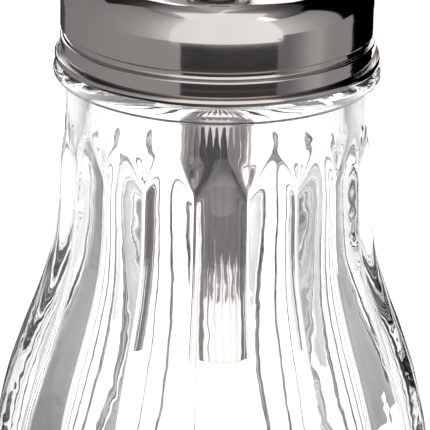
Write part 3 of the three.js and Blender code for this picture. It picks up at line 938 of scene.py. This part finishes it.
def glowing(name, spot, glow, seen_in):
    """A card with a glow, seen in "steel" or through "glass". Spot and glow take shares from 0 to 1."""
    steps = 24
    shares = [(i / steps, j / steps) for i in range(steps + 1) for j in range(steps + 1)]
    faces = []
    for i in range(steps):
        for j in range(steps):
            k = i * (steps + 1) + j
            faces.append((k, k + 1, k + steps + 2, k + steps + 1))
    mesh = bpy.data.meshes.new(name)
    mesh.from_pydata([spot(u, v) for u, v in shares], [], faces)
    piece = bpy.data.objects.new(name, mesh)
    bpy.context.scene.collection.objects.link(piece)
    material = bpy.data.materials.new(name)
    material.use_nodes = True
    tree = material.node_tree
    tree.nodes.clear()
    strength = glow
    if callable(glow):
        glows = mesh.attributes.new("glow", "FLOAT", "POINT")
        glows.data.foreach_set("value", [glow(u, v) for u, v in shares])
        strength = add_node(tree, "ShaderNodeAttribute", attribute_name="glow").outputs["Fac"]
    shine = add_node(tree, "ShaderNodeEmission", {"Color": (1.0, 0.98, 0.97, 1.0), "Strength": strength})
    add_node(tree, "ShaderNodeOutputMaterial", {"Surface": shine.outputs[0]})
    mesh.materials.append(material)
    piece.visible_camera = piece.visible_diffuse = piece.visible_shadow = False
    piece.visible_glossy, piece.visible_transmission = "steel" in seen_in, "glass" in seen_in


def card(name, azimuths, elevations, across, up, seen_in, reach):
    """A card on a sphere round the lid, and no lower than the table. Its glow is across times up.

    Azimuth 0 is in front and 90 at the right, in degrees.
    """

    def spot(u, v):
        a = math.radians(azimuths[0] + (azimuths[1] - azimuths[0]) * u)
        e = math.radians(elevations[0] + (elevations[1] - elevations[0]) * v)
        way = Vector((math.sin(a) * math.cos(e), -math.cos(a) * math.cos(e), math.sin(e)))
        low = lid_centre.z - table_gap
        return lid_centre + way * (low / -way.z if way.z * reach < -low else reach)

    def glow(u, v):
        sideways = np.interp(u, np.linspace(0, 1, len(across)), across)
        return sideways * np.interp(v, np.linspace(0, 1, len(up)), up)

    glowing(name, spot, glow, seen_in)


# Each card's name, its azimuths and elevations, its glow across and up, what it is seen in, and its
# distance in metres.
flat_fade = (1, 1)
near_to_far = (0.30, 0.30, 0.28, 0.12, 0.02, 0.02, 0.02)
table_to_dark = (0.26, 0.16, 0.08, 0.05, 0.03)
left_glow = (0.32, 0.34, 0.36, 0.39, 0.43, 0.51, 0.66, 0.9)
left_low_glow = (0.27, 0.3, 0.33, 0.36, 0.38, 0.38, 0.38)
right_low_glow = (0.18, 0.2, 0.3, 0.46, 0.5, 0.36, 0.35, 0.35, 0.35)
right_ceiling_glow = (0.4, 0.2, 0.1, 0.07, 0.05, 0.08, 0.25)
left_ceiling_glow = (0.25, 0.12, 0.2, 0.3, 0.5)
for name, azimuths, elevations, across, up, seen_in, far in [
    ("window", (-36, 44), (-15.2, 60), (1.12, 1.22, 1.2, 1.25, 1.28), flat_fade, "steel", 1.38),
    ("dark_front", (-28, 40), (-33, -15.2), (1, 1), table_to_dark, "steel", 1.38),
    ("left_low", (-150, -28), (-33, -14), left_low_glow, flat_fade, "steel", 1.4),
    ("left", (-108, -36), (-14, 60), left_glow, flat_fade, "steel", 1.4),
    ("left_back", (-148, -108), (-14, 60), (0.27, 0.29, 0.31, 0.32), flat_fade, "steel", 1.4),
    ("right_low", (40, 108), (-33, 2), right_low_glow, flat_fade, "steel", 1.4),
    ("right", (44, 96), (2, 50), (0.87, 0.7, 0.56, 0.46, 0.4, 0.35), flat_fade, "steel", 1.4),
    ("right_flag", (108, 148), (-30, 2), (0, 0), flat_fade, "steel", 1.39),
    ("right_upper_flag", (96, 156), (2, 56), (0, 0), flat_fade, "steel", 1.39),
    ("left_flag", (-174, -146), (-33, 10), (0.06, 0.06), flat_fade, "steel", 1.39),
    ("left_upper_flag", (-162, -110), (38, 64), (0.02, 0.02), (1, 1, 2, 6), "steel", 1.38),
    ("right_ceiling", (56, 170), (50, 90), right_ceiling_glow, (0.4, 1.2, 2.8, 6, 8), "steel", 1.42),
    ("left_ceiling", (-170, -40), (60, 90), left_ceiling_glow, (0.8, 1.6, 2.2, 2.6, 3), "steel", 1.42),
    ("back_ceiling", (-190, -170), (10, 90), (0.5, 0.5), (0.5, 0.6, 1, 1.2, 1.3), "steel", 1.42),
    ("under_left", (-180, -40), (-80, -33), (0.02, 0.02, 0.02, 0.03), flat_fade, "steel", 1.4),
    ("under_right", (-40, 180), (-80, -33), (0.03, 0.15, 0.3, 0.3, 0.1), flat_fade, "steel", 1.4),
    ("glass_dark_front", (-60, 35), (-34.5, -15.2), (1, 1), near_to_far, "glass", 1.4),
    ("glass_left_low", (-130, -60), (-56, -15.2), (0.5, 0.34, 0.25, 0.2, 0.17), flat_fade, "glass", 1.4),
    ("glass_right_low", (35, 72), (-34.5, -15.2), (0.3, 0.28), flat_fade, "glass", 1.4),
    ("glass_right_side", (72, 100), (-56, -15.2), (0.28, 0.3), flat_fade, "glass", 1.4),
    ("glass_window", (-36, 44), (-15.2, 60), (1.2, 1.2), flat_fade, "glass", 1.38),
    ("glass_left", (-108, -36), (-15.2, 60), (0.34, 0.38, 0.43, 0.6, 0.9), flat_fade, "glass", 1.4),
    ("glass_right", (44, 108), (-15.2, 50), (0.9, 0.6, 0.43, 0.38, 0.34), flat_fade, "glass", 1.4),
    ("glass_left_back", (-165, -108), (-30, 30), (1.6, 1.15, 0.55, 0.4), flat_fade, "glass", 1.4),
    ("glass_right_back", (108, 165), (-30, 30), (0.42, 0.65, 1.2, 1.6), flat_fade, "glass", 1.4),
]:
    card(name + "_card", azimuths, elevations, across, up, seen_in, far)


def ceiling(u, v):
    """The tent's bright top, straight above the lid."""
    return lid_centre + Vector((-0.44 + 0.90 * u, -0.74 + 0.69 * v, 1.25))


glowing("overhead_panel", ceiling, 1.22, "steel")

world = bpy.data.worlds.new("white_room")
world.use_nodes = True
room_light = world.node_tree.nodes["Background"].inputs
room_light["Color"].default_value = (1, 1, 1, 1)
room_light["Strength"].default_value = 2.0
bpy.context.scene.world = world
bpy.context.scene.view_settings.view_transform = "Standard"
# Light runs a long way inside the ribs: with fewer bounces their edges would go black.
cycles = bpy.context.scene.cycles
cycles.max_bounces = cycles.transmission_bounces = 40
cycles.glossy_bounces = 24

# The camera stands in front, a touch to the left, and looks down a little, as in the photograph.
elevation, azimuth, roll = math.radians(20.5), math.radians(-2.2), math.radians(1.0)
distance, lens, aim_height = 0.7, 335.0, 0.0742
level = Vector((math.sin(azimuth), -math.cos(azimuth), 0)) * math.cos(elevation)
back = level + Vector((0, 0, math.sin(elevation)))
camera_data = bpy.data.cameras.new("camera")
camera_data.lens, camera_data.sensor_width = lens, 36.0
camera_data.clip_start, camera_data.clip_end = 0.05, 50
camera = bpy.data.objects.new("camera", camera_data)
camera.location = Vector((0, 0, aim_height)) + back * distance
camera.rotation_mode = "QUATERNION"
aim = (-back).to_track_quat("-Z", "Y")
camera.rotation_quaternion = aim @ Matrix.Rotation(roll, 4, "Z").to_quaternion()
bpy.context.scene.collection.objects.link(camera)
bpy.context.scene.camera = camera
